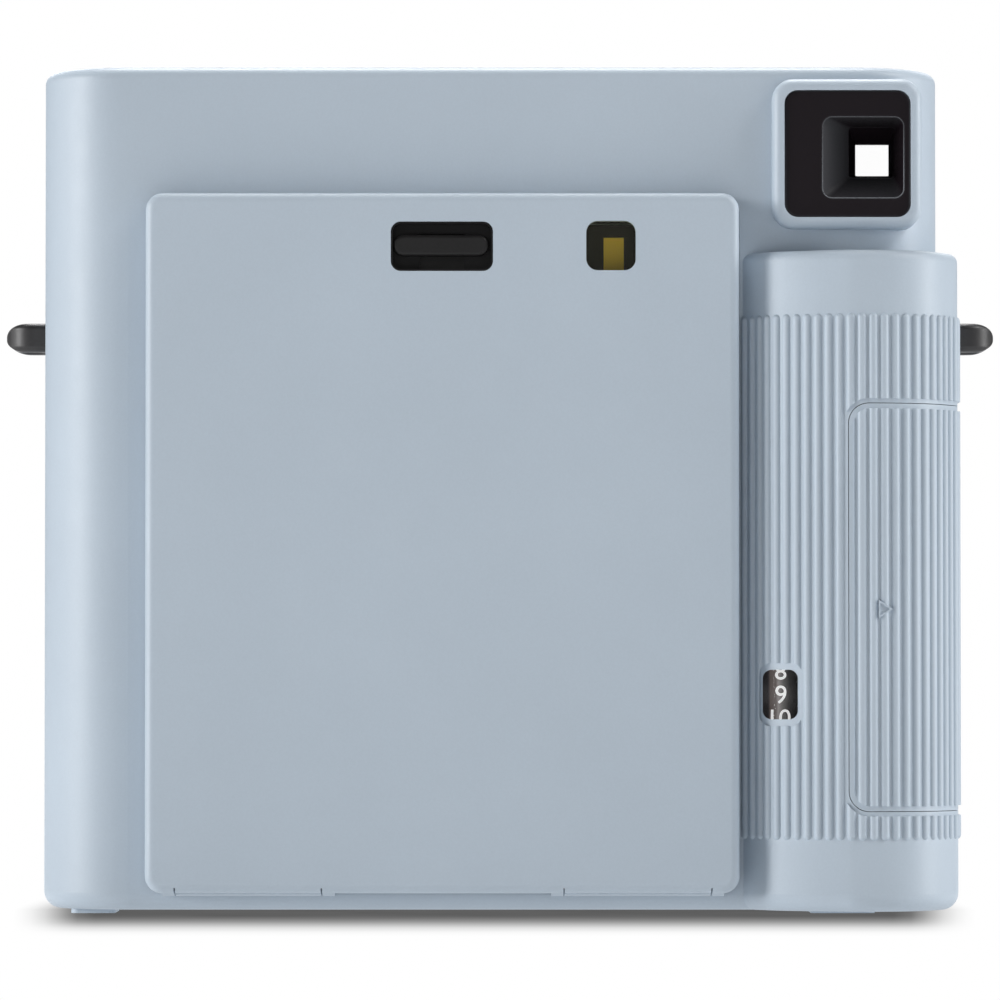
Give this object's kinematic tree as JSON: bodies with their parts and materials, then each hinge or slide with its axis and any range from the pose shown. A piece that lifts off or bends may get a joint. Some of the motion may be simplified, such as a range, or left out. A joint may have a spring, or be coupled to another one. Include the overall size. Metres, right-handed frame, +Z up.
{
  "type": "instant camera",
  "caption": "Square-format instant film camera with rear film door, ribbed grip, power ring lens, viewfinder and strap lugs, modelled as separate shells, mechanism and optics.",
  "frame": {"origin": "centre of the base at the bottom of the feet", "axes": "+Z up, the lens faces -Y, the film door faces +Y, the grip is on the -X side"},
  "size_m": [0.1412, 0.058, 0.1187],
  "materials": {
    "shell_plastic": "fine matt moulded texture",
    "door_plastic": "fine matt moulded texture",
    "cover_plastic": "fine matt moulded texture",
    "ring_plastic": "fine matt moulded texture",
    "button_plastic": "satin",
    "black_gloss": "gloss",
    "black_matte": "matt",
    "latch_plastic": "satin",
    "clear_window": "clear",
    "lens_glass": "coated",
    "smoked_window": "smoked",
    "diffuser": "ribbed diffuser",
    "mirror": "polished",
    "steel": "ground",
    "spring_steel": "drawn",
    "blade_black": "matt black",
    "gear_plastic": "natural white",
    "motor_can": "plated",
    "cell_wrap": "printed sleeve, left plain",
    "contact_metal": "nickel plated",
    "film_paper": "film sheets",
    "yellow_mark": "printed index mark",
    "foam": "flocked light seal",
    "board": "solder mask",
    "cap_sleeve": "shrink sleeve",
    "reflector": "bright",
    "tube_glass": "clear",
    "lug_plastic": "satin"
  },
  "bodies": {
    "camera_body": {"rear_cover": "shell_plastic", "front_cover": "shell_plastic", "strap_lug_left": "lug_plastic", "strap_lug_right": "lug_plastic", "battery_holder": "black_matte", "battery_cells": "cell_wrap", "battery_contacts": "contact_metal", "door_hinge_pins": "steel", "film_cartridge": "black_matte", "pack_index_mark": "yellow_mark", "film_stack": "film_paper", "light_box": "black_matte", "roller_frame": "black_matte", "drive_motor": "motor_can", "film_slot_seal": "foam", "ring_trim": "black_gloss", "viewfinder_eyepiece": "black_matte", "eyepiece_lens": "clear_window", "viewfinder_tube": "black_matte", "viewfinder_front_bezel": "black_gloss", "viewfinder_front_window": "clear_window", "flash_window": "diffuser", "flash_reflector": "reflector", "flash_tube": "tube_glass", "flash_board": "board", "flash_capacitor": "cap_sleeve", "sensor_window": "smoked_window", "main_board": "board", "counter_bracket": "black_matte", "counter_window": "clear_window", "shutter_switch": "black_matte", "button_spring": "spring_steel", "base_screws": "steel"},
    "door": {"film_door": "door_plastic", "latch_bezel": "black_matte", "film_window": "smoked_window", "door_light_seal": "foam", "pack_springs": "spring_steel", "latch_spring": "spring_steel"},
    "latch": {"latch_slider": "latch_plastic"},
    "battery_door": {"battery_cover": "cover_plastic"},
    "ring": {"power_ring": "ring_plastic"},
    "barrel": {"lens_barrel": "black_matte", "barrel_face": "black_matte", "selfie_mirror": "mirror", "lens_cell": "black_matte", "front_lens": "lens_glass", "rear_lens": "lens_glass", "shutter_base": "black_matte", "shutter_solenoid": "motor_can"},
    "blade_left": {"shutter_blade_left": "blade_black"},
    "blade_right": {"shutter_blade_right": "blade_black"},
    "button": {"shutter_button": "button_plastic"},
    "counter": {"counter_drum": "black_gloss"},
    "front_roller": {"roller_front": "steel", "roller_gear_front": "gear_plastic"},
    "rear_roller": {"roller_rear": "steel", "roller_gear_rear": "gear_plastic"},
    "idler": {"idler_gear": "gear_plastic"},
    "pinion": {"motor_pinion": "gear_plastic"}
  },
  "joints": [
    {"name": "door_hinge", "type": "hinge", "parent": "camera_body", "child": "door", "pos_m": [0.008, 0.0219, 0.0044], "axis": [-1, 0, 0], "range_deg": [0, 90]},
    {"name": "latch_slide", "type": "slide", "parent": "door", "child": "latch", "axis": [0, 0, -1], "range_m": [0, 0.0018], "stiffness_N_per_m": 180, "springref_m": -0.003, "deforming": ["latch_spring"]},
    {"name": "battery_cover_slide", "type": "slide", "parent": "camera_body", "child": "battery_door", "axis": [-1, 0, 0], "range_m": [0, 0.018]},
    {"name": "ring_turn", "type": "hinge", "parent": "camera_body", "child": "ring", "pos_m": [0.008, -0.022, 0.048], "axis": [0, 1, 0], "range_deg": [0, 75]},
    {"name": "barrel_slide", "type": "slide", "parent": "camera_body", "child": "barrel", "axis": [0, -1, 0], "range_m": [0, 0.0101]},
    {"name": "blade_left_swing", "type": "hinge", "parent": "barrel", "child": "blade_left", "pos_m": [0.019, -0.02025, 0.054], "axis": [0, 1, 0], "range_deg": [0, 55]},
    {"name": "blade_right_swing", "type": "hinge", "parent": "barrel", "child": "blade_right", "pos_m": [-0.003, -0.0198, 0.054], "axis": [0, 1, 0], "range_deg": [-55.5, 0]},
    {"name": "button_press", "type": "slide", "parent": "camera_body", "child": "button", "axis": [0, 1, 0], "range_m": [0, 0.0015], "stiffness_N_per_m": 500, "springref_m": -0.002, "deforming": ["button_spring"]},
    {"name": "counter_turn", "type": "hinge", "parent": "camera_body", "child": "counter", "pos_m": [-0.039, 0.01245, 0.0307], "axis": [1, 0, 0], "range_deg": [-270, 60]},
    {"name": "front_roller_spin", "type": "hinge", "parent": "camera_body", "child": "front_roller", "pos_m": [0.008, 0.002, 0.103], "axis": [1, 0, 0], "continuous": true},
    {"name": "rear_roller_spin", "type": "hinge", "parent": "camera_body", "child": "rear_roller", "pos_m": [0.008, 0.01, 0.103], "axis": [1, 0, 0], "continuous": true},
    {"name": "idler_spin", "type": "hinge", "parent": "camera_body", "child": "idler", "pos_m": [-0.0337, -0.002, 0.09222], "axis": [1, 0, 0], "continuous": true},
    {"name": "pinion_spin", "type": "hinge", "parent": "camera_body", "child": "pinion", "pos_m": [-0.0337, 0.002, 0.08305], "axis": [1, 0, 0], "continuous": true}
  ],
  "couplings": [
    {"joint": "barrel_slide", "follows": "ring_turn", "m_per_rad": 0.0076394},
    {"joint": "blade_right_swing", "follows": "blade_left_swing", "ratio": -1},
    {"joint": "rear_roller_spin", "follows": "front_roller_spin", "ratio": -1},
    {"joint": "idler_spin", "follows": "front_roller_spin", "ratio": -0.53333},
    {"joint": "pinion_spin", "follows": "front_roller_spin", "ratio": 1.6}
  ]
}
